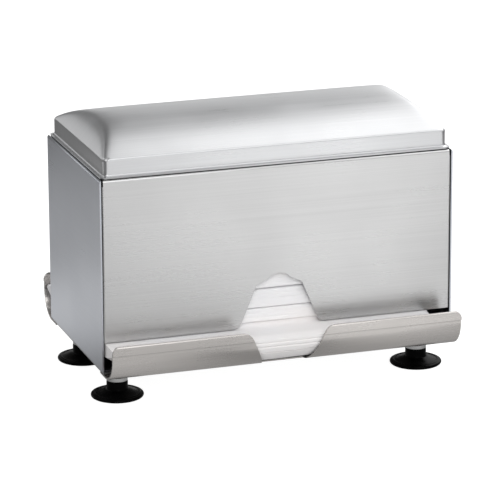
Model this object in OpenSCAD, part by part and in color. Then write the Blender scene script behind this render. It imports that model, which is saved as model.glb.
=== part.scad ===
// Two-sided countertop napkin dispenser.
// +X is to the right, the front faces -Y, +Z is up.
// The origin is centred under the body on the surface that the suction cups stand on.

/* [Body] */
// Outer width across the side panels
body_w = 188; // [180:1:200]
// Outer depth from front panel to rear panel
body_d = 98; // [94:1:106]
// Height of the side panels
side_h = 100.5; // [90:0.5:120]
// Sheet thickness of every pressed panel
sheet = 0.8; // [0.6:0.1:1.0]
// Outside radius of the panel bends
bend_r = 1.1; // [1.0:0.1:2.0]
// Gap under the front and rear panels, where napkins come out
slot_h = 16; // [12:0.5:20]

/* [Finger notch] */
// Half width of the notch where its sides start
notch_half_w = 20.3; // [16:0.1:24]
// Fall of the shoulders beside the arch, in degrees
notch_shoulder_slope = 26; // [15:1:35]
// Lean of the notch sides from the vertical, in degrees
notch_lean = 23; // [15:1:28]
// Radius of the arch above the shoulders
notch_arch_r = 8; // [6:0.5:9]

/* [Troughs] */
// Outside radius of the curl
curl_r = 14; // [12:0.5:15]
// Height of the front lip above the side panels' lower edge
front_lip_h = 19; // [17:0.1:22]
// Height of the rear lip, which stands a little higher
rear_lip_h = 20.6; // [17:0.1:22]
// Height of the hem folded over the outside of the lip
hem_h = 4.8; // [3:0.1:6]
// How far each end of a trough sits inside the body width
trough_inset = 0.7; // [0.3:0.1:1.5]
// Radius of the lip's outer corners
lip_corner_r = 4; // [2:0.5:5]
// Half width of the thumb cut-out at the lip
cutout_half_w = 20.9; // [18:0.1:24]

/* [Lid] */
// Height of the lid's band, from its flange to the foot of the vault
band_h = 9.7; // [8:0.1:12]
// How far the band stands inside the body outline
band_inset = 2.6; // [2:0.1:3.5]
// Rise of the vaulted top above the band
dome_h = 11.6; // [8:0.1:14]
// Length of the sloping ends of the vault
hip_l = 11.5; // [9:0.5:16]
// Depth of the locating skirt below the body's top edge
skirt_depth = 8; // [5:0.5:12]

/* [Feet] */
// Height of the side panels' lower edge above the counter
foot_h = 18.2; // [17:0.1:22]
// Foot centres from the middle, along the width
foot_x = 81.5; // [70:0.5:84]
// Foot centres from the middle, along the depth
foot_y = 31.7; // [26:0.1:34]
// Radius of a suction cup at its rim
cup_r = 13.6; // [12:0.1:15]
// Radius of a suction cup's neck
neck_r = 5.5; // [5:0.1:6]

/* [Napkins] */
// Length of a folded napkin, along the width
napkin_l = 173; // [160:1:175]
// Depth of a folded napkin
napkin_d = 94; // [86:1:94]
// Height of the top of the stack above the side panels' lower edge
stack_top = 82; // [60:1:88]

/* [Hidden] */
$fn = 48;

steel = [0.78, 0.78, 0.77];
dark_steel = [0.62, 0.62, 0.62];
rubber = [0.06, 0.06, 0.07];
tissue = [0.95, 0.94, 0.93];

eps = 0.01;
weld_gap = 0.05;
half_w = body_w / 2;
half_d = body_d / 2;
inner_w = half_w - sheet;

// Body flanges
top_flange_w = 2.9;
floor_flange_w = 7.8;
side_flange_d = 12;
flange_r = 1.2;
flange_clear = 3.4;
relief_w = 1;
relief_h = 3;
panel_half_w = inner_w - weld_gap;

// Notch
notch_start_z = 3.3;
notch_shoulder_r = 2.2;
notch_flare_r = 5;
notch_arch_z = 20;
notch_arch_start = 42;

// Troughs
curl_y = half_d + 2.2;
tongue_back = 18;
tongue_half_w = 88;
tongue_start = 42;
hem_gap = 0.1;
cutout_lean = 24;
cutout_flare_r = 6.5;
cutout_back = 52.5;
trough_half_w = half_w - trough_inset;

// Feet
stud_r = 2;
stud_clear = 0.2;
thread_clear = 0.04;
collar_r = 5.4;
collar_h = 8.3;
nut_af = 7;
nut_h = 2.2;
stud_tip = 3.4;
rim_t = 1.9;

// Napkin rest
rest_top = 7.6;
rest_half_w = 74;
rest_half_d = 27;
rest_foot = 9;
rivet_r = 1.6;
rivet_x = 60;
rivet_y = rest_half_d + rest_foot / 2;

// Napkins, pushed up against the front and rear panels' left side flanges
napkin_clear = 0.15;
napkin_x0 = -panel_half_w + sheet + napkin_clear;
bulge_r = 12.1;
layer_gap = 0.3;
layer_z = [17.6, 25.2, 35.3, 46];

// Lid
lid_gap = 0.4;
hip_turn_r = 8;
lid_flange_inset = 0.8;
lid_z = side_h + lid_gap;
dome_z = lid_z + band_h;
band_hw = half_w - band_inset;
band_hd = half_d - band_inset;
band_corner_r = 2.4;

// Points along an arc, from angle a0 to angle a1
function arc(c, r, a0, a1, n = 10) =
    [for (i = [0:n]) let (a = a0 + (a1 - a0) * i / n) [c[0] + r * cos(a), c[1] + r * sin(a)]];

// Same points mirrored in the vertical axis, in reverse order
function flipped(p) = [for (i = [len(p) - 1:-1:0]) [-p[i][0], p[i][1]]];

// Lays a YZ profile along X, centred
module along_x(length) {
    translate([-length / 2, 0, 0]) rotate([90, 0, 90]) linear_extrude(length) children();
}

// Lays an XZ outline along Y, from y0 to y1
module along_y(y0, y1) {
    translate([0, y1, 0]) rotate([90, 0, 0]) linear_extrude(y1 - y0) children();
}

// Quarter ring of sheet in the first quadrant, centred on the origin
module quarter_bend(r) {
    intersection() {
        difference() {
            circle(r);
            circle(r - sheet);
        }
        square(r + 1);
    }
}

module at_feet() {
    for (x = [-foot_x, foot_x], y = [-foot_y, foot_y]) translate([x, y, 0]) children();
}

// ---------- Side panels ----------

// Upright with an inward flange at the top and at the floor, section in XZ, panel on +X
module side_section() {
    translate([inner_w, flange_r]) square([sheet, side_h - 2 * flange_r]);
    translate([half_w - flange_r, side_h - flange_r]) quarter_bend(flange_r);
    translate([half_w - flange_r, flange_r]) mirror([0, 1]) quarter_bend(flange_r);
    translate([half_w - top_flange_w, side_h - sheet])
        square([top_flange_w - flange_r, sheet]);
    translate([half_w - floor_flange_w, 0]) square([floor_flange_w - flange_r, sheet]);
}

module side_panel() {
    difference() {
        translate([0, 0, foot_h]) along_y(-half_d, half_d) side_section();
        // The flanges stop short of the corners
        for (s = [-1, 1]) translate([0, s * half_d, foot_h + side_h / 2])
            cube([2 * (inner_w - eps), 2 * flange_clear, side_h + 2], center = true);
    }
}

module side_panel_left() {
    color(steel) mirror([1, 0, 0]) side_panel();
}

module side_panel_right() {
    color(steel) side_panel();
}

// ---------- Front and rear panels ----------

// Face with a flange bent back at each side, section in XY
module panel_section() {
    translate([-(panel_half_w - bend_r), -half_d]) square([2 * (panel_half_w - bend_r), sheet]);
    for (s = [0, 1]) mirror([s, 0]) {
        translate([panel_half_w - bend_r, -half_d + bend_r]) mirror([0, 1]) quarter_bend(bend_r);
        translate([panel_half_w - sheet, -half_d + bend_r])
            square([sheet, side_flange_d - bend_r]);
    }
}

// Face with a flange bent back along the top, section in YZ
module panel_top_section() {
    translate([-half_d, side_h - relief_h - 1]) square([sheet, relief_h + 1 - flange_r]);
    translate([-half_d + flange_r, side_h - flange_r]) mirror([1, 0]) quarter_bend(flange_r);
    translate([-half_d + flange_r, side_h - sheet])
        square([top_flange_w - flange_r, sheet]);
}

// Right half of the notch outline, from the lower edge up to the middle of the arch
function notch_half() =
    let (
        lean = notch_lean,
        side_x0 = notch_half_w + notch_start_z * tan(lean),
        flare_z = notch_flare_r,
        flare_x = side_x0 - flare_z * tan(lean) + notch_flare_r / cos(lean),
        // The shoulder line meets the arch at its start and runs tangent to the rounded turn
        up = [sin(notch_shoulder_slope), cos(notch_shoulder_slope)],
        arch = arc([0, notch_arch_z], notch_arch_r, notch_arch_start, 90),
        turn_x0 = side_x0 - notch_shoulder_r / cos(lean),
        turn_z = (up * arch[0] - notch_shoulder_r - up[0] * turn_x0) / (up[1] - up[0] * tan(lean)),
        turn_x = turn_x0 - turn_z * tan(lean)
    )
    concat(
        [[flare_x, -1]],
        arc([flare_x, flare_z], notch_flare_r, 270, 180 + lean),
        arc([turn_x, turn_z], notch_shoulder_r, lean, 90 - notch_shoulder_slope, 6),
        arch
    );

module notch_outline() {
    polygon(concat(notch_half(), flipped(notch_half())));
}

module notched_panel() {
    slot_z = foot_h + slot_h;
    difference() {
        union() {
            translate([0, 0, slot_z])
                linear_extrude(side_h - slot_h - relief_h) panel_section();
            translate([0, 0, foot_h]) along_x(2 * (panel_half_w - relief_w)) panel_top_section();
        }
        translate([0, 0, slot_z]) along_y(-half_d - 1, -half_d + 2 * sheet) notch_outline();
    }
}

module front_panel() {
    color(steel) notched_panel();
}

module rear_panel() {
    color(steel) mirror([0, 1, 0]) notched_panel();
}

// ---------- Base and troughs ----------

module base_plate() {
    color(dark_steel) difference() {
        translate([-panel_half_w, -half_d + sheet, foot_h - sheet])
            cube([2 * panel_half_w, body_d - 2 * sheet, sheet]);
        at_feet() translate([0, 0, foot_h - sheet - 1]) cylinder(r = stud_r + stud_clear, h = 3);
        for (x = [-rivet_x, rivet_x], y = [-rivet_y, rivet_y])
            translate([x, y, foot_h - sheet - 1]) cylinder(r = rivet_r + thread_clear, h = 3);
    }
}

// Tongue, curl, lip and outside hem, section in YZ with z = 0 at the side panels' lower edge
module trough_section(lip_h) {
    bottom = -2 * sheet;
    curl_z = bottom + curl_r;
    lip_y = -curl_y - curl_r;
    fold_r = sheet + hem_gap / 2;
    fold_z = lip_h - fold_r;
    translate([-curl_y, bottom]) square([curl_y - tongue_back, sheet]);
    translate([-curl_y, curl_z]) rotate(180) quarter_bend(curl_r);
    translate([lip_y, curl_z]) square([sheet, fold_z - curl_z]);
    translate([lip_y - hem_gap - sheet, lip_h - hem_h]) square([sheet, hem_h - fold_r]);
    translate([lip_y - hem_gap / 2, fold_z]) intersection() {
        difference() {
            circle(fold_r);
            circle(hem_gap / 2);
        }
        translate([-fold_r, 0]) square([2 * fold_r, fold_r]);
    }
}

// Right half of the thumb cut-out, from below the trough up to the lip
function cutout_half(lip_h) =
    let (
        lean = cutout_lean,
        low_z = -4,
        flare_z = lip_h - cutout_flare_r,
        flare_x = cutout_half_w - cutout_flare_r * tan(lean) + cutout_flare_r / cos(lean)
    )
    concat(
        [[cutout_half_w - (lip_h - low_z) * tan(lean), low_z]],
        arc([flare_x, flare_z], cutout_flare_r, 180 - lean, 90),
        [[flare_x, lip_h + 1]]
    );

// Front view of the trough sheet with its rounded lip corners
module trough_outline(lip_h) {
    corner = [trough_half_w - lip_corner_r, lip_h - lip_corner_r];
    polygon(concat(
        [[trough_half_w, -3]],
        arc(corner, lip_corner_r, 0, 90),
        arc([-corner[0], corner[1]], lip_corner_r, 90, 180),
        [[-trough_half_w, -3]]
    ));
}

module trough(lip_h) {
    translate([0, 0, foot_h]) difference() {
        intersection() {
            along_x(body_w) trough_section(lip_h);
            along_y(-body_d, 0) trough_outline(lip_h);
        }
        // Thumb cut-out, down to the flat of the tongue
        along_y(-body_d, -cutout_back)
            polygon(concat(cutout_half(lip_h), flipped(cutout_half(lip_h))));
        // The tongue is narrower than the curl
        for (s = [-1, 1]) translate([s * (tongue_half_w + 20), tongue_start / -2 + 1, 0])
            cube([40, tongue_start + 2, 8], center = true);
        at_feet() translate([0, 0, -4]) cylinder(r = stud_r + stud_clear, h = 6);
    }
}

module front_trough() {
    color(steel) trough(front_lip_h);
}

module rear_trough() {
    color(steel) mirror([0, 1, 0]) trough(rear_lip_h);
}

// ---------- Raised rest under the napkins ----------

// Hat section in YZ, standing on the base plate
module rest_section() {
    translate([-rest_half_d + bend_r, rest_top - sheet])
        square([2 * (rest_half_d - bend_r), sheet]);
    for (s = [0, 1]) mirror([s, 0]) {
        translate([rest_half_d - bend_r, rest_top - bend_r]) quarter_bend(bend_r);
        translate([rest_half_d - sheet, bend_r]) square([sheet, rest_top - 2 * bend_r]);
        translate([rest_half_d - sheet + bend_r, bend_r]) rotate(180) quarter_bend(bend_r);
        translate([rest_half_d - sheet + bend_r, 0]) square([rest_foot - bend_r, sheet]);
    }
}

module at_rivets() {
    for (x = [-rivet_x, rivet_x], y = [-rivet_y, rivet_y]) translate([x, y, foot_h]) children();
}

module napkin_rest() {
    color(dark_steel) difference() {
        translate([0, 0, foot_h]) along_x(2 * rest_half_w) rest_section();
        at_rivets() translate([0, 0, -1]) cylinder(r = rivet_r + thread_clear, h = 3);
    }
}

module rest_rivets() {
    head_r = 1.8 * rivet_r;
    color(dark_steel) at_rivets() {
        translate([0, 0, -sheet]) cylinder(r = rivet_r, h = 2 * sheet);
        translate([0, 0, sheet]) intersection() {
            translate([0, 0, -head_r * 0.8]) sphere(r = head_r * 1.28);
            cylinder(r = head_r, h = 3);
        }
    }
}

// ---------- Feet ----------

module foot_collars() {
    top = foot_h - 2 * sheet;
    color(steel) at_feet() translate([0, 0, top - collar_h]) difference() {
        cylinder(r = collar_r, h = collar_h);
        translate([0, 0, -1]) cylinder(r = stud_r + stud_clear, h = collar_h + 2);
    }
}

module foot_studs() {
    top = foot_h + stud_tip;
    color(dark_steel) at_feet() translate([0, 0, 4.2]) cylinder(r = stud_r, h = top - 4.2);
}

module foot_nuts() {
    color(dark_steel) at_feet() translate([0, 0, foot_h]) difference() {
        cylinder(r = nut_af / 2 / cos(30), h = nut_h, $fn = 6);
        translate([0, 0, -1]) cylinder(r = stud_r + thread_clear, h = nut_h + 2);
    }
}

// Half section of a suction cup with a blind socket for its stud
module cup_section() {
    top = foot_h - 2 * sheet - collar_h;
    socket_r = stud_r + thread_clear;
    socket_z = 4;
    shoulder_z = 4.2;
    polygon(concat(
        [[0, 2.8], [4, 2.5], [8, 1.2], [cup_r - 2.3, 0]],
        arc([cup_r - rim_t / 2, rim_t / 2], rim_t / 2, -90, 60, 6),
        [[cup_r - 2.2, 2.1], [cup_r - 4.2, 2.5], [cup_r - 6.2, 3.3], [neck_r + 0.8, shoulder_z]],
        [[neck_r, shoulder_z + 0.6], [neck_r, top - 0.4], [neck_r - 0.4, top]],
        [[socket_r, top], [socket_r, socket_z], [0, socket_z]]
    ));
}

module suction_cup(x, y) {
    color(rubber) translate([x, y, 0]) rotate_extrude($fn = 64) cup_section();
}

module suction_cup_front_left() {
    suction_cup(-foot_x, -foot_y);
}

module suction_cup_front_right() {
    suction_cup(foot_x, -foot_y);
}

module suction_cup_rear_left() {
    suction_cup(-foot_x, foot_y);
}

module suction_cup_rear_right() {
    suction_cup(foot_x, foot_y);
}

// ---------- Napkins ----------

// Front half of the lowest napkins, which droop over the rest into the trough
function droop_half() =
    let (c = [curl_y, curl_r - 2 * sheet])
    concat(
        [[38, rest_top + layer_gap], [42.5, 6.6], [46.5, 3]],
        arc(c, bulge_r, -84, 6, 12),
        [[61.4, 15.2], [59, 15.5], [half_d - 0.9, 15.5], [47.2, 16.3], [46.6, layer_z[0]]]
    );

module napkins_bottom() {
    color(tissue) translate([napkin_x0 + napkin_l / 2, 0, foot_h]) along_x(napkin_l)
        polygon(concat(droop_half(), flipped(droop_half())));
}

// A bundle of folded napkins between two heights, with softly rounded folds
module napkin_bundle(z0, z1) {
    r = 1.6;
    hd = napkin_d / 2;
    lo = z0 + layer_gap + r;
    hi = z1 - r;
    color(tissue) translate([napkin_x0 + napkin_l / 2, 0, foot_h]) along_x(napkin_l)
        polygon(concat(
            arc([hd - r, lo], r, -90, 0, 5),
            arc([hd - r, hi], r, 0, 90, 5),
            arc([r - hd, hi], r, 90, 180, 5),
            arc([r - hd, lo], r, 180, 270, 5)
        ));
}

module napkins_second() {
    napkin_bundle(layer_z[0], layer_z[1]);
}

module napkins_third() {
    napkin_bundle(layer_z[1], layer_z[2]);
}

module napkins_fourth() {
    napkin_bundle(layer_z[2], layer_z[3]);
}

module napkins_top() {
    napkin_bundle(layer_z[3], stack_top);
}

// ---------- Lid ----------

// Vault section in YZ: a shallow circular arch over the band, inset for the inner skin
module vault_section(inset) {
    rise = dome_h - inset;
    hd = band_hd - inset;
    r = (hd * hd + rise * rise) / (2 * rise);
    intersection() {
        translate([0, dome_z + rise - r]) circle(r, $fn = 180);
        translate([-hd, dome_z]) square([2 * hd, rise + 1]);
    }
}

// End view in XZ: sloping ends with a rounded turn into the ridge, inset for the inner skin
module hip_section(inset) {
    slope = atan(dome_h / hip_l);
    hw = band_hw - inset / sin(slope) + inset / tan(slope);
    top = dome_z + dome_h - inset;
    turn_x = hw - (top - hip_turn_r - dome_z) / tan(slope) - hip_turn_r / sin(slope);
    polygon(concat(
        [[hw, dome_z]],
        arc([turn_x, top - hip_turn_r], hip_turn_r, 90 - slope, 90, 6),
        arc([-turn_x, top - hip_turn_r], hip_turn_r, 90, 90 + slope, 6),
        [[-hw, dome_z]]
    ));
}

module vault(inset) {
    intersection() {
        along_x(body_w) vault_section(inset);
        along_y(-half_d, half_d) hip_section(inset);
    }
}

module rounded_plate(hw, hd, r, z0, z1) {
    translate([0, 0, z0]) linear_extrude(z1 - z0) {
        square([2 * (hw - r), 2 * hd], center = true);
        square([2 * hw, 2 * (hd - r)], center = true);
        for (x = [r - hw, hw - r], y = [r - hd, hd - r]) translate([x, y]) circle(r);
    }
}

module lid_shell() {
    r = band_corner_r;
    in_w = band_hw - sheet;
    in_d = band_hd - sheet;
    color(steel) translate([0, 0, foot_h]) difference() {
        union() {
            vault(0);
            rounded_plate(band_hw, band_hd, r, lid_z, dome_z);
            rounded_plate(
                half_w - lid_flange_inset, half_d - lid_flange_inset, r, lid_z, lid_z + sheet
            );
        }
        vault(sheet);
        rounded_plate(in_w, in_d, r - sheet, lid_z - 1, dome_z + eps);
    }
}

// Strip frame spot-welded inside the band; it drops into the body's mouth
module lid_skirt() {
    hw = band_hw - sheet - weld_gap;
    hd = band_hd - sheet - weld_gap;
    r = band_corner_r - sheet;
    low = side_h - skirt_depth;
    high = dome_z - 1.5;
    color(dark_steel) translate([0, 0, foot_h]) difference() {
        rounded_plate(hw, hd, r, low, high);
        rounded_plate(hw - sheet, hd - sheet, r - sheet, low - 1, high + 1);
    }
}

side_panel_left();
side_panel_right();
front_panel();
rear_panel();
base_plate();
front_trough();
rear_trough();
napkin_rest();
rest_rivets();
foot_collars();
foot_studs();
foot_nuts();
suction_cup_front_left();
suction_cup_front_right();
suction_cup_rear_left();
suction_cup_rear_right();
napkins_bottom();
napkins_second();
napkins_third();
napkins_fourth();
napkins_top();
lid_shell();
lid_skirt();
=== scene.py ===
"""Looks of a two-sided countertop napkin dispenser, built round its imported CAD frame.

The scene is in metres. The mesh builders work in millimetres, and add_piece turns them into metres.
"""

import math

import bmesh
import bpy
import numpy as np
from mathutils import Matrix, Vector


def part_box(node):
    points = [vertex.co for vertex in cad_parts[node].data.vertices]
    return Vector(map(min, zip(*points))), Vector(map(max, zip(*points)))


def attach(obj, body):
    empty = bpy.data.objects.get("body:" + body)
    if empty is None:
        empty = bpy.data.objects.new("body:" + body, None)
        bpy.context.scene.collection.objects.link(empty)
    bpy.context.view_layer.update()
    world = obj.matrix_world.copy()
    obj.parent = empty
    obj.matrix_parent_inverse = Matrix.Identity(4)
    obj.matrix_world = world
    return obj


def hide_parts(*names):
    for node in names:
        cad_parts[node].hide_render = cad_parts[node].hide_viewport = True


MM = 0.001

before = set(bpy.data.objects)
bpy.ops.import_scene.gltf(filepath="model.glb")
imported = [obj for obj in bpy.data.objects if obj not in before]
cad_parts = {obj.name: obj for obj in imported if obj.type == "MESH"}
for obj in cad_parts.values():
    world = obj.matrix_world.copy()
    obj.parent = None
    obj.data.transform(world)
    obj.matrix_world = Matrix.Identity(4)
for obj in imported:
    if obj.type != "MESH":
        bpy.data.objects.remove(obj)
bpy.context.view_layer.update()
scene = bpy.context.scene
FOOT_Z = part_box("side_panel_left")[0].z


# ---------- Camera ----------

def make_camera():
    """The photograph's viewpoint: a long lens, a little left of the front and above it."""
    azimuth, elevation, roll = math.radians(-18.35), math.radians(16.34), math.radians(-0.27)
    distance = 1.7334
    target = Vector((-3.33, 0, 64.92)) * MM
    back = Vector((
        math.sin(azimuth) * math.cos(elevation),
        -math.cos(azimuth) * math.cos(elevation),
        math.sin(elevation),
    ))
    right = Vector((0, 0, 1)).cross(back).normalized()
    up = back.cross(right)
    turned_right = right * math.cos(roll) + up * math.sin(roll)
    turned_up = up * math.cos(roll) - right * math.sin(roll)
    data = bpy.data.cameras.new("camera")
    data.sensor_width = 36
    data.lens = 247.18
    data.clip_start = 0.05
    data.clip_end = 100
    camera = bpy.data.objects.new("camera", data)
    matrix = Matrix((turned_right, turned_up, back)).transposed().to_4x4()
    matrix.translation = target + back * distance
    camera.matrix_world = matrix
    scene.collection.objects.link(camera)
    scene.camera = camera


# ---------- Node helpers ----------

class Nodes:
    """A node tree with short calls for the nodes that the materials share."""

    def __init__(self, tree):
        self.tree = tree
        tree.nodes.clear()

    def add(self, kind, **values):
        node = self.tree.nodes.new(kind)
        for key, value in values.items():
            if hasattr(node, key):
                setattr(node, key, value)
            else:
                node.inputs[key].default_value = value
        return node

    def link(self, source, target):
        self.tree.links.new(source, target)

    def math(self, operation, a, b):
        node = self.tree.nodes.new("ShaderNodeMath")
        node.operation = operation
        for i, value in enumerate((a, b)):
            if isinstance(value, (int, float)):
                node.inputs[i].default_value = value
            else:
                self.link(value, node.inputs[i])
        return node.outputs[0]

    def ramp(self, value, low, high, to_low, to_high, smooth=True):
        node = self.tree.nodes.new("ShaderNodeMapRange")
        node.interpolation_type = "SMOOTHSTEP" if smooth else "LINEAR"
        self.link(value, node.inputs["Value"])
        for key, number in zip(("From Min", "From Max", "To Min", "To Max"), (low, high, to_low, to_high)):
            node.inputs[key].default_value = number
        return node.outputs["Result"]

    def noise(self, vector, scale, detail=2.0, stretch=(1, 1, 1), offset=(0, 0, 0)):
        mapping = self.tree.nodes.new("ShaderNodeMapping")
        mapping.inputs["Scale"].default_value = stretch
        mapping.inputs["Location"].default_value = offset
        self.link(vector, mapping.inputs["Vector"])
        texture = self.tree.nodes.new("ShaderNodeTexNoise")
        texture.inputs["Scale"].default_value = scale
        texture.inputs["Detail"].default_value = detail
        self.link(mapping.outputs[0], texture.inputs["Vector"])
        return texture.outputs["Fac"]

    def mix_color(self, factor, a, b):
        node = self.tree.nodes.new("ShaderNodeMix")
        node.data_type = "RGBA"
        self.link(factor, node.inputs["Factor"])
        for key, value in (("A", a), ("B", b)):
            socket = next(s for s in node.inputs if s.name == key and s.type == "RGBA")
            if isinstance(value, tuple):
                socket.default_value = (*value, 1)
            else:
                self.link(value, socket)
        return next(s for s in node.outputs if s.type == "RGBA")


def new_material(name):
    material = bpy.data.materials.new(name)
    material.use_nodes = True
    return material, Nodes(material.node_tree)


# ---------- Materials ----------

# Seams of the steel narrower than this, in metres, get painted shade: ambient occlusion darkens their base
# colour
SEAM_SHADE_REACH = 0.0022


def steel(name, color, grain_axis, spread, roughness=0.3, anisotropic=0.75, grain=1.0, uv=False):
    """Brushed stainless sheet with painted shade in its seams. Its grain runs along grain_axis. Reflections
    blur along spread, across it.
    """
    material, n = new_material(name)
    shader = n.add("ShaderNodeBsdfPrincipled", Metallic=1.0, Anisotropic=anisotropic)
    output = n.add("ShaderNodeOutputMaterial")
    n.link(shader.outputs[0], output.inputs["Surface"])
    source = n.add("ShaderNodeTexCoord").outputs["UV" if uv else "Object"]

    def streaks(per_metre, length_ratio, detail, offset):
        stretch = [1.0, 1.0, 1.0]
        stretch[grain_axis] = length_ratio
        return n.noise(source, per_metre, detail, tuple(stretch), (offset, offset * 0.7, offset * 1.3))

    fine = streaks(2600.0, 0.004, 2.0, 0.0)
    medium = streaks(700.0, 0.008, 3.0, 3.1)
    broad = streaks(90.0, 0.08, 2.0, 7.7)
    scuff = n.noise(source, 22.0, 4.0, offset=(1.7, 4.2, 0.3))
    mixed = n.math("ADD", n.math("MULTIPLY", fine, 0.45), n.math("MULTIPLY", medium, 0.35))
    mixed = n.math("ADD", mixed, n.math("MULTIPLY", broad, 0.2))
    darker = tuple(c * (1 - 0.06 * grain) for c in color)
    lighter = tuple(min(1.0, c * (1 + 0.06 * grain)) for c in color)
    tone = n.mix_color(n.ramp(mixed, 0.3, 0.7, 0.0, 1.0, smooth=False), darker, lighter)
    # Painted shade: ambient occlusion darkens the base colour in seams, gaps and under steps, down to a fifth
    # of the steel's colour
    seam_shade = n.add("ShaderNodeAmbientOcclusion", samples=8, Distance=SEAM_SHADE_REACH)
    tone = n.mix_color(n.ramp(seam_shade.outputs["AO"], 0.35, 0.93, 0.0, 1.0), tuple(0.2 * c for c in color), tone)
    n.link(tone, shader.inputs["Base Color"])
    wear = n.math("ADD", n.ramp(mixed, 0.3, 0.7, -0.025 * grain, 0.025 * grain, smooth=False),
                  n.ramp(scuff, 0.35, 0.7, roughness - 0.02, roughness + 0.035))
    n.link(wear, shader.inputs["Roughness"])
    bump = n.add("ShaderNodeBump", Strength=0.08 * grain, Distance=0.00001)
    n.link(mixed, bump.inputs["Height"])
    n.link(bump.outputs[0], shader.inputs["Normal"])
    if uv:
        tangent = n.add("ShaderNodeTangent", direction_type="UV_MAP", uv_map="grain")
    else:
        tangent = n.add("ShaderNodeCombineXYZ", X=spread[0], Y=spread[1], Z=spread[2])
    n.link(tangent.outputs[0], shader.inputs["Tangent"])
    return material


def plated(name, color, roughness=0.16):
    """Turned or plated metal of the fasteners and collars, with faint turning marks and dulled patches."""
    material, n = new_material(name)
    shader = n.add("ShaderNodeBsdfPrincipled", Metallic=1.0)
    output = n.add("ShaderNodeOutputMaterial")
    n.link(shader.outputs[0], output.inputs["Surface"])
    source = n.add("ShaderNodeTexCoord").outputs["Object"]
    rings = n.noise(source, 4200.0, 2.0, (0.02, 0.02, 1.0))
    patches = n.noise(source, 160.0, 4.0)
    tone = n.mix_color(n.ramp(patches, 0.35, 0.7, 0.0, 1.0), tuple(c * 0.86 for c in color), color)
    n.link(tone, shader.inputs["Base Color"])
    turning = n.ramp(rings, 0.3, 0.7, -0.03, 0.05)
    dulling = n.ramp(patches, 0.3, 0.7, roughness, roughness + 0.1)
    n.link(n.math("ADD", turning, dulling), shader.inputs["Roughness"])
    bump = n.add("ShaderNodeBump", Strength=0.15, Distance=0.00002)
    n.link(rings, bump.inputs["Height"])
    n.link(bump.outputs[0], shader.inputs["Normal"])
    return material


def rubber(name):
    """Moulded black rubber: glossy where it was pressed, with a fine bloom and specks of dust."""
    material, n = new_material(name)
    shader = n.add("ShaderNodeBsdfPrincipled", IOR=1.5)
    shader.inputs["Specular IOR Level"].default_value = 0.04
    output = n.add("ShaderNodeOutputMaterial")
    n.link(shader.outputs[0], output.inputs["Surface"])
    source = n.add("ShaderNodeTexCoord").outputs["Object"]
    bloom = n.noise(source, 240.0, 5.0)
    pores = n.noise(source, 3200.0, 3.0, offset=(2.0, 5.0, 1.0))
    tone = n.mix_color(n.ramp(bloom, 0.4, 0.75, 0.0, 1.0), (0.0008, 0.0008, 0.0009), (0.002, 0.002, 0.0022))
    n.link(tone, shader.inputs["Base Color"])
    n.link(n.math("ADD", n.ramp(bloom, 0.3, 0.7, 0.22, 0.36), n.ramp(pores, 0.3, 0.7, -0.04, 0.04)),
           shader.inputs["Roughness"])
    bump = n.add("ShaderNodeBump", Strength=0.2, Distance=0.00003)
    n.link(pores, bump.inputs["Height"])
    n.link(bump.outputs[0], shader.inputs["Normal"])
    return material


def tissue(name):
    """Soft white paper: cloudy fibres, faint creping across the sheet, warm and cool patches."""
    material, n = new_material(name)
    shader = n.add("ShaderNodeBsdfPrincipled", IOR=1.35)
    shader.inputs["Specular IOR Level"].default_value = 0.2
    shader.inputs["Sheen Weight"].default_value = 0.15
    shader.inputs["Sheen Roughness"].default_value = 0.6
    output = n.add("ShaderNodeOutputMaterial")
    n.link(shader.outputs[0], output.inputs["Surface"])
    source = n.add("ShaderNodeTexCoord").outputs["Object"]
    fibres = n.noise(source, 900.0, 5.0, (0.35, 1.0, 1.0))
    crepe = n.noise(source, 2400.0, 2.0, (1.0, 0.15, 0.15), (3.0, 1.0, 8.0))
    tint = n.noise(source, 34.0, 2.0, (0.6, 1.0, 1.6), (5.0, 2.0, 4.0))
    paper = n.mix_color(n.ramp(tint, 0.38, 0.62, 0.0, 1.0), (0.955, 0.93, 0.925), (0.935, 0.93, 0.945))
    paper = n.mix_color(n.ramp(fibres, 0.3, 0.75, 0.0, 0.35), paper, (0.985, 0.98, 0.975))
    n.link(paper, shader.inputs["Base Color"])
    n.link(n.ramp(fibres, 0.3, 0.7, 0.8, 0.98), shader.inputs["Roughness"])
    height = n.math("ADD", n.math("MULTIPLY", fibres, 0.7), n.math("MULTIPLY", crepe, 0.3))
    bump = n.add("ShaderNodeBump", Strength=0.35, Distance=0.00006)
    n.link(height, bump.inputs["Height"])
    n.link(bump.outputs[0], shader.inputs["Normal"])
    return material


X, Y = 0, 1
MATERIALS = {
    "front": steel("steel_front", (0.60, 0.60, 0.60), X, (0, 0.0, 1)),
    "side": steel("steel_side", (0.56, 0.58, 0.625), Y, (0, 0.0, 1), grain=0.6),
    "trough": steel("steel_trough", (0.585, 0.56, 0.54), X, (0, 0.3, 1), roughness=0.28, grain=0.9),
    "lid": steel("steel_lid", (0.66, 0.665, 0.675), Y, None, uv=True),
    "inner": steel("steel_inner", (0.50, 0.50, 0.50), X, (0, 1, 0.3), roughness=0.38),
    "collar": plated("steel_collar", (0.62, 0.62, 0.62)),
    "fastener": plated("steel_fastener", (0.55, 0.54, 0.52), roughness=0.26),
    "rubber": rubber("black_rubber_moulded"),
    "tissue": tissue("tissue_paper"),
}


def paint(obj, key):
    obj.data.materials.clear()
    obj.data.materials.append(MATERIALS[key])


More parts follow.
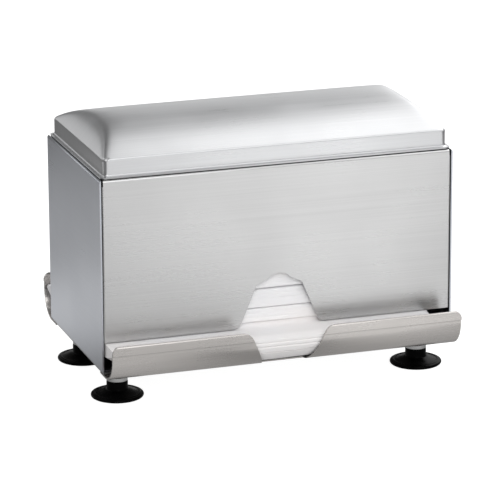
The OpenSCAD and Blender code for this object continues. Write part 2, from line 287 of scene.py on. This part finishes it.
NODE_LOOKS = {
    "front": ("front_panel", "rear_panel"),
    "side": ("side_panel_left", "side_panel_right"),
    "trough": ("front_trough", "rear_trough"),
    "lid": ("lid_shell",),
    "inner": ("lid_skirt", "base_plate", "napkin_rest"),
    "collar": ("foot_collars",),
    "fastener": ("foot_studs", "foot_nuts", "rest_rivets"),
    "rubber": tuple(f"suction_cup_{y}_{x}" for y in ("front", "rear") for x in ("left", "right")),
    "tissue": ("napkins_bottom", "napkins_second", "napkins_third", "napkins_fourth", "napkins_top"),
}
for key, names in NODE_LOOKS.items():
    for node_name in names:
        paint(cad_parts[node_name], key)


# Rounding of the sheets' raw edges in millimetres
RAW_EDGES = {
    0.28: ("front_trough", "rear_trough"),
    0.2: ("side_panel_left", "side_panel_right", "front_panel", "rear_panel", "lid_skirt"),
    0.15: ("base_plate", "napkin_rest", "foot_nuts"),
}


def soften_edges():
    """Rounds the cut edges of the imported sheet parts, so that they catch the light as deburred metal does."""
    for width, names in RAW_EDGES.items():
        for node_name in names:
            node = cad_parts[node_name]
            weld = node.modifiers.new("weld", "WELD")
            weld.merge_threshold = 1e-6
            bevel = node.modifiers.new("deburred", "BEVEL")
            bevel.width = width * MM
            bevel.segments = 3
            bevel.limit_method = "ANGLE"
            bevel.angle_limit = math.radians(40)
            bevel.harden_normals = True


# ---------- Mesh building ----------

def add_piece(name, points_mm, faces, look, body, replaced, grain=None, sharp=35, outward=False):
    """A mesh piece from points in mm. grain holds each point's place (across, along) the brushing."""
    data = bpy.data.meshes.new(name)
    data.from_pydata((np.asarray(points_mm, float) * MM).tolist(), [], [list(map(int, f)) for f in faces])
    data.validate()
    if outward:
        work = bmesh.new()
        work.from_mesh(data)
        bmesh.ops.recalc_face_normals(work, faces=work.faces)
        work.to_mesh(data)
        work.free()
    if grain is not None:
        layer = data.uv_layers.new(name="grain")
        corners = np.empty(len(data.loops), np.int32)
        data.loops.foreach_get("vertex_index", corners)
        layer.data.foreach_set("uv", (np.asarray(grain, float)[corners] * MM).astype(np.float32).ravel())
    data.shade_smooth()
    data.set_sharp_from_angle(angle=math.radians(sharp))
    piece = bpy.data.objects.new(name, data)
    scene.collection.objects.link(piece)
    paint(piece, look)
    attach(piece, body)
    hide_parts(*replaced)
    return piece


def loop_faces(first, second, count, closed=True):
    """Quads between two rows of points that start at the given numbers."""
    steps = count if closed else count - 1
    return [(first + i, first + (i + 1) % count, second + (i + 1) % count, second + i) for i in range(steps)]


def close_rows(first, count):
    """Closes a ring of points whose point i mirrors point -i, with strips from side to side."""
    half = count // 2
    faces = [(first, first + 1, first + count - 1)]
    last = first + count
    faces += [(first + i, first + i + 1, last - i - 1, last - i) for i in range(1, half - 1)]
    faces.append((first + half - 1, first + half, first + half + 1))
    return faces


def point_normals(points, faces):
    """Area-weighted unit normals of a mesh's points."""
    normals = np.zeros_like(points)
    for face in faces:
        corners = points[list(face)]
        cross = np.cross(corners[2] - corners[0], corners[-1] - corners[1])
        for i in face:
            normals[i] += cross
    return normals / np.linalg.norm(normals, axis=1)[:, None]


# ---------- Lid ----------

LID_LOW, LID_HIGH = (np.array(corner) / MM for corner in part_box("lid_shell"))
SHEET = 0.8
FLANGE_STEP = 1.8
FILLET_R = 1.25
BAND_H = 9.7
HIP_L = 12.5
EDGE_R = 1.2
CORNER_EDGE_R = 2.6
CORNER_R = 2.6
HIP_BULGE = 0.62
RIM_INSET = 0.2
RIDGE_SOFT = 1.5
BAND_HW = LID_HIGH[0] - FLANGE_STEP
BAND_HD = LID_HIGH[1] - FLANGE_STEP
DOME_Z = LID_LOW[2] + BAND_H
DOME_RISE = LID_HIGH[2] - DOME_Z


def vault_height(x, y):
    """Height of the drawn vault over the band: an arch from front to back, meeting a sloping end softly."""
    radius = (BAND_HD ** 2 + DOME_RISE ** 2) / (2 * DOME_RISE)
    arch = np.sqrt(radius ** 2 - np.minimum(np.abs(y), BAND_HD) ** 2) - (radius - DOME_RISE)
    share = (BAND_HW - np.abs(x)) / HIP_L
    bulged = share * (1 + HIP_BULGE * (1 - share))
    beyond = 1 + (1 - HIP_BULGE) * (share - 1)
    end = DOME_RISE * np.where(share < 1, bulged, beyond)
    soft = RIDGE_SOFT + 0.06 * np.minimum(arch, end)
    return (arch + end - np.sqrt((arch - end) ** 2 + soft ** 2)) / 2


def rounded_ring(half_w, half_d, radius, n_side=26, n_corner=10, n_front=64):
    """Points of a rounded rectangle, counter-clockwise from +X; each size may be given per point."""
    t_side = np.linspace(0, 1, n_side, endpoint=False)
    t_corner = np.linspace(0, math.pi / 2, n_corner, endpoint=False)
    t_front = np.linspace(0, 1, n_front + 1)
    t_front = 0.4 * t_front + 0.6 * (1 - np.cos(t_front * math.pi / 2))
    quarter = n_side + n_corner + n_front
    kind = np.array([0] * n_side + [1] * n_corner + [2] * n_front + [3])
    value = np.concatenate([t_side, t_corner, t_front[:-1], [1.0]])
    index = np.concatenate([
        np.arange(quarter), np.arange(quarter, 0, -1), np.arange(quarter), np.arange(quarter, 0, -1)
    ])
    sign_x = np.concatenate([np.ones(quarter), -np.ones(2 * quarter), np.ones(quarter)])
    sign_y = np.concatenate([np.ones(2 * quarter), -np.ones(2 * quarter)])
    kind, value = kind[index], value[index]
    half_w, half_d, radius = (np.broadcast_to(v, kind.shape) for v in (half_w, half_d, radius))
    x = np.select(
        [kind == 0, kind == 1, kind >= 2],
        [half_w, half_w - radius + radius * np.cos(value), (half_w - radius) * (1 - value)],
    )
    y = np.select(
        [kind == 0, kind == 1, kind >= 2],
        [(half_d - radius) * value, half_d - radius + radius * np.sin(value), half_d],
    )
    nx = np.select([kind == 0, kind == 1, kind >= 2], [1.0, np.cos(value), 0.0])
    return x * sign_x, y * sign_y, nx


def make_lid():
    """The drawn lid as one sheet: flange, fillet, band, rounded edge and vault, with its inner skin."""
    rows = []

    def row(inset, z):
        half_w = LID_HIGH[0] - inset
        half_d = LID_HIGH[1] - inset
        inner = np.maximum(inset - FLANGE_STEP, 0)
        radius = np.minimum(CORNER_R + inner, 0.9 * half_d)
        x, y, nx = rounded_ring(half_w, half_d, radius)
        rows.append(np.column_stack([x, y, z(x, y) if callable(z) else np.broadcast_to(z, x.shape)]))
        return nx

    flange_top = LID_LOW[2] + SHEET
    side_share = row(0.0, flange_top)
    row(RIM_INSET, flange_top)
    for angle in np.linspace(0, math.pi / 2, 8):
        row(FLANGE_STEP - FILLET_R * (1 - math.sin(angle)), flange_top + FILLET_R * (1 - math.cos(angle)))
    edge_x, edge_y, _ = rounded_ring(BAND_HW, BAND_HD, CORNER_R)
    in_x, in_y, _ = rounded_ring(BAND_HW - 1, BAND_HD - 1, CORNER_R + 1)
    edge_z = DOME_Z + vault_height(edge_x, edge_y)
    slope = np.arctan(DOME_Z + vault_height(in_x, in_y) - edge_z)
    turn = math.pi / 2 - slope
    corner_share = np.clip(4 * side_share * np.sqrt(1 - side_share ** 2), 0, 1) ** 0.5
    edge_r = EDGE_R + (CORNER_EDGE_R - EDGE_R) * corner_share
    reach = edge_r * np.tan(turn / 2)
    foot = flange_top + FILLET_R
    for share in (0.25, 0.5, 0.75, 1.0):
        row(FLANGE_STEP, foot + (edge_z - reach - foot) * share)
    for share in np.linspace(0.125, 1, 8):
        row(
            FLANGE_STEP + edge_r * (1 - np.cos(turn * share)),
            edge_z - reach + edge_r * np.sin(turn * share),
        )
    start = FLANGE_STEP + edge_r * (1 - np.cos(turn))
    end = LID_HIGH[1] - 0.8
    for share in np.linspace(0, 1, 46)[1:] ** 1.25:
        row(start + (end - start) * share, lambda x, y: DOME_Z + vault_height(x, y))
    count = len(rows[0])
    outer = np.concatenate(rows)
    faces = []
    for i in range(len(rows) - 1):
        faces += loop_faces(i * count, (i + 1) * count, count)
    faces += close_rows((len(rows) - 1) * count, count)
    inner = outer - point_normals(outer, faces) * SHEET
    inner[:2 * count, 2] = LID_LOW[2]
    inner[:count, :2] = outer[:count, :2] * (1 - RIM_INSET / np.abs(outer[:count, :2]).max(axis=0))
    inner[count:2 * count, :2] = outer[count:2 * count, :2] * 0.99
    shift = len(outer)
    faces += [tuple(i + shift for i in reversed(face)) for face in faces]
    faces += [tuple(reversed(face)) for face in loop_faces(0, shift, count)]
    drop = np.maximum(np.tile(edge_z, len(rows)) - outer[:, 2], 0)
    share = np.tile(side_share, len(rows))
    along = outer[:, 0] + np.sign(outer[:, 0]) * drop * share
    across = outer[:, 1] + np.sign(outer[:, 1]) * drop * (1 - share)
    grain = np.column_stack([across, along])
    add_piece(
        "lid_shell_drawn", np.concatenate([outer, inner]), faces, "lid", "lid",
        ["lid_shell"], grain=np.concatenate([grain, grain]),
    )


# ---------- Napkins ----------

NAPKIN_X = [corner[0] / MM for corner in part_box("napkins_top")]
CURL_Y, CURL_Z = 51.2, 12.4
BULGE_R = 12.1
LAYER_GROOVE = 0.14
END_LIFT_L = 26.0


def waves(seed, lengths, amplitude):
    """A smooth random function of a distance in millimetres: a few sines with seeded phases."""
    random = np.random.default_rng(seed)
    phases = random.uniform(0, 2 * math.pi, len(lengths))
    weights = random.uniform(0.6, 1.0, len(lengths))
    weights *= amplitude / weights.sum()
    parts = list(zip(weights, lengths, phases))
    return lambda x: sum(w * np.sin(2 * math.pi * x / length + p) for w, length, p in parts)


def mirrored_loop(front):
    """A closed loop from its front half: points (y forward, z) from mid underside to mid top."""
    back = front[-2:0:-1] * np.array([-1, 1])
    return np.concatenate([front, back])


def stack_piece(name, stations, loops, ends, node):
    """A bundle of folded paper: one YZ loop at each X station. ends(y) tells how much its right end loses."""
    count = len(loops[0])
    points = []
    for x, loop in zip(stations, loops):
        near_right = (x - stations[0]) / (stations[-1] - stations[0])
        shift = -ends(loop[:, 0]) * near_right ** 8
        points.append(np.column_stack([x + shift, -loop[:, 0], loop[:, 1]]))
    faces = []
    for i in range(len(loops) - 1):
        faces += loop_faces(i * count, (i + 1) * count, count)
    for first in (0, (len(loops) - 1) * count):
        faces += close_rows(first, count)
    add_piece(
        name, np.concatenate(points), faces, "tissue", "housing", [node],
        sharp=50, outward=True,
    )


def bundle_front(half_d, low, high, fold_r, layers, seed, x):
    """The front half of a bundle's outline at one station: round folds, with grooves between napkins."""
    heights = np.linspace(low, high, 8 * layers + 1)
    step = (high - low) / layers
    phase = (heights - low) / step
    groove = np.exp(-((phase - np.round(phase)) / 0.1) ** 2)
    layer = np.clip(phase.astype(int), 0, layers - 1)
    offsets = np.array([waves(seed + 10 * k, (170, 61, 23), 0.22)(x) for k in range(layers)])
    inset = LAYER_GROOVE * groove - offsets[layer] * (1 - groove)
    near_edge = np.minimum(heights - low, high - heights)
    rounded = fold_r - np.sqrt(np.maximum(fold_r ** 2 - (fold_r - near_edge) ** 2, 0))
    round_off = np.where(near_edge < fold_r, rounded, 0)
    edge = np.column_stack([half_d - inset - round_off, heights])
    flat = np.array([0, 0.35, 0.7]) * half_d
    under = np.column_stack([flat, np.full(3, low)])
    over = np.column_stack([flat[::-1], np.full(3, high)])
    return np.concatenate([under, edge, over])


def make_bundle(node, layers, fold_r, seed, dent=None):
    """One of the level bundles in the body. dent is a pushed-in spot of the front: x, z, reach, depth."""
    low, high = (np.array(corner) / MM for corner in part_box(node))
    half_d = high[1] - 0.2
    stations = np.linspace(NAPKIN_X[0], NAPKIN_X[1], 70)
    sag = waves(seed, (210, 77), 0.14)
    loops = []
    for x in stations:
        loop = mirrored_loop(bundle_front(half_d, low[2] + 0.15, high[2] - 0.15, fold_r, layers, seed, x))
        loop[:, 1] += sag(x)
        if dent:
            away = ((x - dent[0]) / dent[2]) ** 2 + ((loop[:, 1] - dent[1]) / (0.6 * dent[2])) ** 2
            loop[:, 0] -= dent[3] * np.exp(-away) * (loop[:, 0] > half_d - 3)
        loops.append(loop)
    stack_piece(node + "_folded", stations, loops, lambda y: 0.02 * np.abs(y), node)


def make_bottom_bundle():
    """The lowest napkins: level on the rest, drooping into both troughs, and lifted at their two ends."""
    foot = FOOT_Z / MM
    low_angles = np.radians(np.linspace(-84, -30, 30))
    top_angles = np.radians(np.linspace(-26.5, 6, 28))
    flute = waves(5, (83, 37, 19), 1.0)
    ripple = waves(6, (140, 52, 27), 0.14)

    def arc(angles, radius):
        return np.column_stack([CURL_Y + radius * np.cos(angles), CURL_Z + radius * np.sin(angles)])

    def grooves(angles, centres, depth):
        degrees = np.degrees(angles)[:, None]
        return depth * np.exp(-((degrees - np.array(centres)) / 1.5) ** 2).sum(1)

    def outline(x):
        full_r = BULGE_R + 0.2 + 0.2 * np.clip((-30 - np.degrees(low_angles)) / 40, 0, 1)
        low = arc(low_angles, full_r + ripple(x) - grooves(low_angles, (-46, -62), 0.1))
        top = arc(top_angles, BULGE_R + 0.4 + 0.7 * ripple(x + 40) - grooves(top_angles, (-13, -2), 0.4))
        crease = arc(np.radians([-28.0]), BULGE_R - 1.2)
        under = np.array([(0, 7.9), (30, 7.9), (38, 7.9), (42.5, 6.6), (46.5, 3.0)])
        over = np.array([
            (61.5, 15.05), (60.0, 15.4), (57.0, 15.5), (53.0, 15.45), (49.8, 15.45), (47.6, 15.7),
            (46.3, 16.4), (45.3, 17.6), (44.0, 18.2), (25, 18.3), (0, 18.3),
        ])
        full = np.concatenate([under, low, crease, top, over])
        lifted = full.copy()
        start, stop = len(under) - 2, len(under) + len(low) + 1 + len(top)
        share = np.linspace(0, 1, stop - start)
        lifted[start:stop, 0] = 42.5 + (63.1 - 42.5) * share
        lifted[start:stop, 1] = 7.8 + 5.4 * share ** 1.5
        end = min(x - NAPKIN_X[0], NAPKIN_X[1] - x)
        weight = np.clip(1 - end / END_LIFT_L, 0, 1) ** 2
        mixed = full * (1 - weight) + lifted * weight
        at_crease = np.exp(-((np.arange(len(mixed)) - len(under) - len(low)) / 5.0) ** 2)
        mixed[:, 1] += 0.45 * flute(x) * at_crease * (1 - weight)
        mixed[:, 1] += foot
        return mixed

    stations = np.linspace(NAPKIN_X[0], NAPKIN_X[1], 110)
    loops = [mirrored_loop(outline(x)) for x in stations]
    stack_piece(
        "napkins_bottom_folded", stations, loops, lambda y: 0.15 * np.maximum(np.abs(y) - 48, 0),
        "napkins_bottom",
    )


# ---------- Feet ----------

def arc_points(centre, radius, start, stop, count=6):
    angles = np.radians(np.linspace(start, stop, count))
    return [(centre[0] + radius * math.cos(a), centre[1] + radius * math.sin(a)) for a in angles]


def lathe(profile, centre, spokes=96):
    """Points and faces of a profile (radius, height) turned about a vertical axis. Radius 0 is a pole."""
    points, faces, rows = [], [], []
    for radius, height in profile:
        first = len(points)
        if radius < 1e-6:
            points.append((centre[0], centre[1], height))
            rows.append((first, 1))
            continue
        for i in range(spokes):
            angle = 2 * math.pi * i / spokes
            x = centre[0] + radius * math.cos(angle)
            y = centre[1] + radius * math.sin(angle)
            points.append((x, y, height))
        rows.append((first, spokes))
    closed = rows[0][1] > 1 and rows[-1][1] > 1
    pairs = list(zip(rows, rows[1:])) + ([(rows[-1], rows[0])] if closed else [])
    for (a, a_count), (b, b_count) in pairs:
        if a_count == b_count:
            faces += loop_faces(a, b, spokes)
        elif a_count == 1:
            faces += [(a, b + (i + 1) % spokes, b + i) for i in range(spokes)]
        else:
            faces += [(a + i, a + (i + 1) % spokes, b) for i in range(spokes)]
    return points, faces


RIM_T = 1.9
NECK_R = 5.5
STUD_SOCKET_R = 2.04


def make_cups():
    """Suction cups: a thin rounded rim, a faint bead inside it, a shallow cone and a short neck."""
    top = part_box("foot_collars")[0].z / MM
    for name in NODE_LOOKS["rubber"]:
        low, high = (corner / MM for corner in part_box(name))
        centre = ((low.x + high.x) / 2, (low.y + high.y) / 2)
        rim = (high.x - low.x) / 2
        edge = RIM_T / 2
        profile = [(0, 2.8), (2.5, 2.65), (5, 2.1), (8, 1.15), (rim - 3, 0.25), (rim - 2.2, 0.0)]
        profile += arc_points((rim - edge, edge), edge, -90, 72, 9)
        profile += [(rim - 1.1, 1.86), (rim - 1.45, 1.93)]
        profile += arc_points((rim - 2.0, 1.9), 0.34, 20, 160, 6)
        profile += [(rim - 2.7, 2.08), (rim - 4.2, 2.5), (rim - 5.6, 3.0), (rim - 6.6, 3.5)]
        profile += arc_points((NECK_R + 1.0, 4.7), 1.0, 262, 180, 6)
        profile += [(NECK_R, 5.6), (NECK_R, 7.0), (NECK_R, top - 0.5)]
        profile += arc_points((NECK_R - 0.45, top - 0.45), 0.45, 20, 90, 4)
        profile += [(STUD_SOCKET_R, top), (STUD_SOCKET_R, 4.0), (0, 4.0)]
        points, faces = lathe(profile, centre)
        add_piece(
            name + "_moulded", points, faces, "rubber", "housing", [name],
            sharp=60, outward=True,
        )


def make_collars():
    """Turned collars between the cups and the base, with rounded rims, all in one piece as in the CAD."""
    low, high = (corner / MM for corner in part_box("foot_collars"))
    points, faces = [], []
    radius, hole, soft = 5.4, 2.2, 0.55
    profile = [(hole, low.z), (radius - soft - 0.6, low.z)]
    profile += arc_points((radius - soft, low.z + soft), soft, -90, 0)
    profile += [(radius, low.z + 2.2), (radius - 0.25, low.z + 2.45), (radius - 0.25, low.z + 2.9)]
    profile += [(radius, low.z + 3.15), (radius, high.z - 1.2)]
    profile += arc_points((radius - soft, high.z - soft), soft, 0, 90)
    profile += [(hole, high.z)]
    for x in (low.x + radius, high.x - radius):
        for y in (low.y + radius, high.y - radius):
            more_points, more_faces = lathe(profile, (x, y))
            faces += [tuple(i + len(points) for i in face) for face in more_faces]
            points += more_points
    add_piece(
        "foot_collars_turned", points, faces, "collar", "housing", ["foot_collars"], sharp=40,
        outward=True,
    )


# ---------- Stage ----------

def stage_mesh(name, points, faces):
    data = bpy.data.meshes.new(name)
    data.from_pydata(points, [], faces)
    obj = bpy.data.objects.new(name, data)
    scene.collection.objects.link(obj)
    return obj


def stage_plane(name, half, z):
    corners = [(-half, -half, z), (half, -half, z), (half, half, z), (-half, half, z)]
    return stage_mesh(name, corners, [(0, 1, 2, 3)])


def make_floor():
    """A white floor that only the camera sees."""
    floor = stage_plane("floor", 12.0, -0.0002)
    material, n = new_material("floor_white")
    output = n.add("ShaderNodeOutputMaterial")
    diffuse = n.add("ShaderNodeBsdfDiffuse", Color=(0.35, 0.35, 0.35, 1))
    glow = n.add("ShaderNodeEmission", Color=(1, 1, 1, 1), Strength=0.93)
    both = n.add("ShaderNodeAddShader")
    n.link(diffuse.outputs[0], both.inputs[0])
    n.link(glow.outputs[0], both.inputs[1])
    n.link(both.outputs[0], output.inputs["Surface"])
    floor.data.materials.append(material)
    floor.visible_glossy = False
    floor.visible_diffuse = False
    floor.visible_shadow = False


def make_table(patches, base):
    """The lit table top that the steel mirrors: soft round patches of light, not seen by the camera."""
    table = stage_plane("table", 12.0, -0.0004)
    material, n = new_material("table_top")
    output = n.add("ShaderNodeOutputMaterial")
    position = n.add("ShaderNodeNewGeometry").outputs["Position"]
    total = base
    for x, y, inner, outer, strength in patches:
        centre = n.add("ShaderNodeVectorMath", operation="DISTANCE")
        n.link(position, centre.inputs[0])
        centre.inputs[1].default_value = (x, y, 0)
        patch = n.ramp(centre.outputs["Value"], inner, outer, strength, 0)
        total = n.math("ADD", total, patch)
    glow = n.add("ShaderNodeEmission")
    n.link(total, glow.inputs["Strength"])
    n.link(glow.outputs[0], output.inputs["Surface"])
    table.data.materials.append(material)
    table.visible_camera = False


def make_backdrop():
    """A white dome that only the camera sees."""
    rings, spokes, radius = 12, 32, 30.0
    points, faces = [], []
    for i in range(rings + 1):
        latitude = math.pi * (i / rings - 0.5)
        for j in range(spokes):
            longitude = 2 * math.pi * j / spokes
            points.append((
                radius * math.cos(latitude) * math.cos(longitude),
                radius * math.cos(latitude) * math.sin(longitude),
                radius * math.sin(latitude),
            ))
    for i in range(rings):
        faces += loop_faces(i * spokes, (i + 1) * spokes, spokes)
    backdrop = stage_mesh("backdrop", points, faces)
    material, n = new_material("backdrop_white")
    output = n.add("ShaderNodeOutputMaterial")
    glow = n.add("ShaderNodeEmission", Color=(1, 1, 1, 1), Strength=1.1)
    n.link(glow.outputs[0], output.inputs["Surface"])
    backdrop.data.materials.append(material)
    for flag in ("visible_glossy", "visible_diffuse", "visible_shadow", "visible_transmission"):
        setattr(backdrop, flag, False)


def make_fill():
    """A broad soft light from the front left that evens out the paper and leaves no mirror image."""
    data = bpy.data.lights.new("fill", "AREA")
    data.shape = "DISK"
    data.size = 1.0
    data.energy = 2.8
    light = bpy.data.objects.new("fill", data)
    light.location = (-0.7, -1.1, 0.5)
    light.rotation_euler = (Vector((0, -0.05, 0.05)) - light.location).to_track_quat("-Z", "Y").to_euler()
    light.visible_glossy = False
    light.visible_camera = False
    scene.collection.objects.link(light)


def direction(azimuth, elevation):
    """Unit vector to a compass point: azimuth 0 is behind the object, 90 to its right, 180 in front."""
    a, e = math.radians(azimuth), math.radians(elevation)
    return (math.sin(a) * math.cos(e), math.cos(a) * math.cos(e), math.sin(e))


def make_world(lobes, base):
    """Soft studio surroundings: a dim room with broad panels of light in it."""
    world = bpy.data.worlds.new("studio")
    world.use_nodes = True
    scene.world = world
    n = Nodes(world.node_tree)
    output = n.add("ShaderNodeOutputWorld")
    background = n.add("ShaderNodeBackground")
    n.link(background.outputs[0], output.inputs["Surface"])
    look = n.add("ShaderNodeTexCoord").outputs["Generated"]
    total = base
    for azimuth, elevation, inner, outer, strength in lobes:
        dot = n.add("ShaderNodeVectorMath", operation="DOT_PRODUCT")
        n.link(look, dot.inputs[0])
        dot.inputs[1].default_value = direction(azimuth, elevation)
        edge, core = (math.cos(math.radians(angle)) for angle in (outer, inner))
        lobe = n.ramp(dot.outputs["Value"], edge, core, 0, strength)
        total = n.math("ADD", total, lobe)
    n.link(total, background.inputs["Strength"])


# azimuth, elevation, inner and outer half angle in degrees, strength
ROOM = [
    (22, 8, 3, 22, 0.82),
    (180, 8, 3, 22, 1.0),
    (330, 8, 3, 22, 1.1),
    (50, 28, 5, 26, 1.92),
    (135, 28, 5, 26, 1.14),
    (180, 28, 5, 26, 1.48),
    (60, 50, 6, 30, 2.4),
    (120, 50, 6, 30, 1.19),
    (180, 50, 6, 30, 1.56),
    (300, 50, 6, 30, 1.17),
]
DIM_ROOM = 0.2

# x, y, inner and outer radius in metres, strength
TABLE = [
    (-0.1, -0.12, 0.02, 0.12, 0.5),
    (0.1, -0.12, 0.02, 0.12, 0.43),
    (0.08, -0.3, 0.05, 0.22, 1.16),
    (0.0, -0.65, 0.1, 0.35, 0.57),
    (0.4, -0.65, 0.1, 0.35, 1.9),
    (0.4, -1.4, 0.3, 0.9, 1.42),
    (0.0, 0.0, 0.03, 0.13, 0.2),
    (0.45, 0.0, 0.1, 0.4, 0.25),
    (-0.5, -0.05, 0.05, 0.25, 0.8),
    (-0.15, 0.12, 0.02, 0.12, 0.53),
    (-0.2, 0.3, 0.05, 0.18, 0.3),
]
DIM_TABLE = 0.2

make_camera()
soften_edges()
make_lid()
make_bottom_bundle()
make_bundle("napkins_second", 3, 0.8, 20)
make_bundle("napkins_third", 4, 0.8, 40, dent=(17.5, FOOT_Z / MM + 34.2, 5.0, 1.3))
make_bundle("napkins_fourth", 4, 0.8, 60)
make_bundle("napkins_top", 14, 1.6, 80)
make_cups()
make_collars()
make_floor()
make_table(TABLE, DIM_TABLE)
make_backdrop()
make_world(ROOM, DIM_ROOM)
make_fill()

scene.view_settings.view_transform = "Standard"
